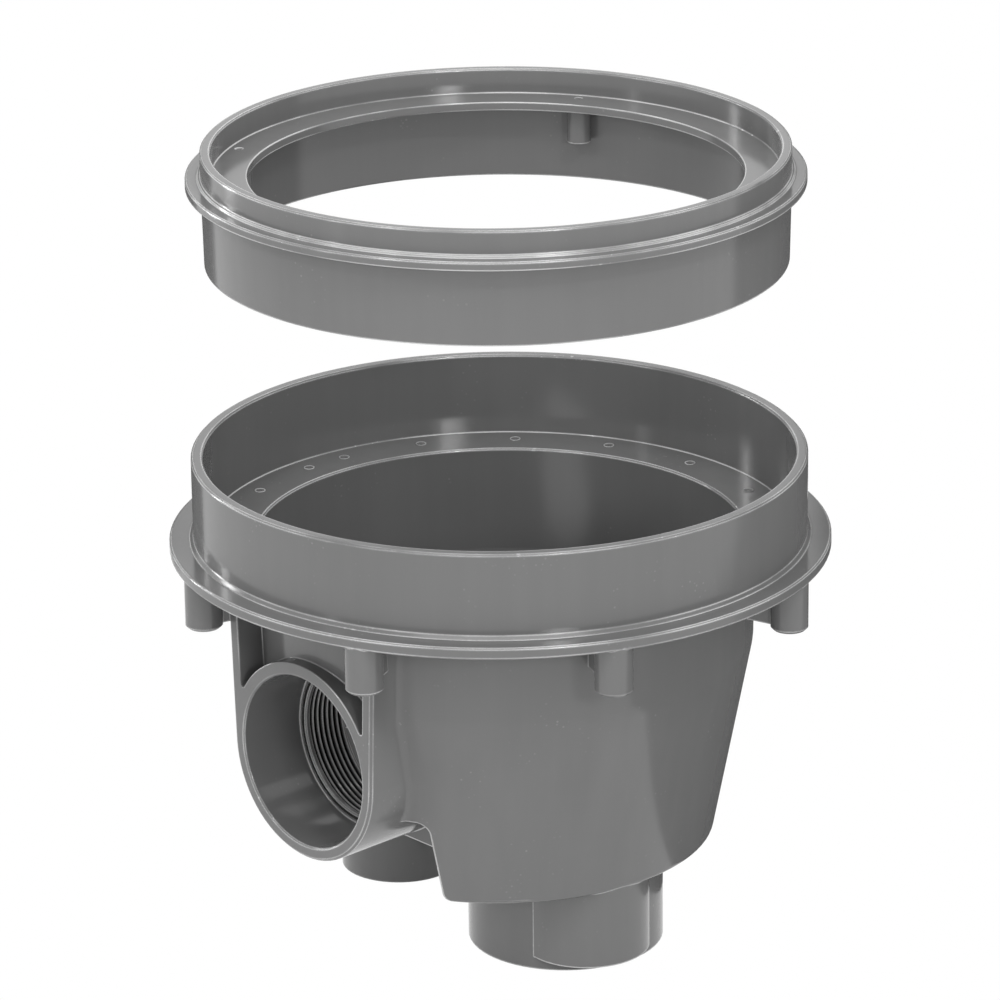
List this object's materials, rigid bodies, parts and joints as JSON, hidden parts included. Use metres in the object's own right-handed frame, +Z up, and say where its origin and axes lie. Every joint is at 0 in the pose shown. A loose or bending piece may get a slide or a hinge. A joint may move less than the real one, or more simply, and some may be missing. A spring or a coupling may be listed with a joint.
{
  "type": "drainage sump",
  "caption": "Moulded pool main drain sump: a bucket with a wide collar, a side pipe socket and bottom pipe ports, with its extension ring lifted above it.",
  "frame": {"origin": "on the collar's axis, level with the ends of the bottom ports", "axes": "+Z up along the collar's axis, -Y out of the side socket, +X towards the deep end with the large port"},
  "size_m": [0.3339, 0.334, 0.4083],
  "materials": {
    "body_plastic": "moulded satin",
    "ring_plastic": "moulded satin"
  },
  "bodies": {
    "sump": {"sump_body": "body_plastic"},
    "ring": {"extension_ring": "ring_plastic"}
  },
  "joints": [
    {"name": "ring_slide", "type": "slide", "parent": "sump", "child": "ring", "axis": [0, 0, -1], "range_m": [0, 0.1408]}
  ]
}
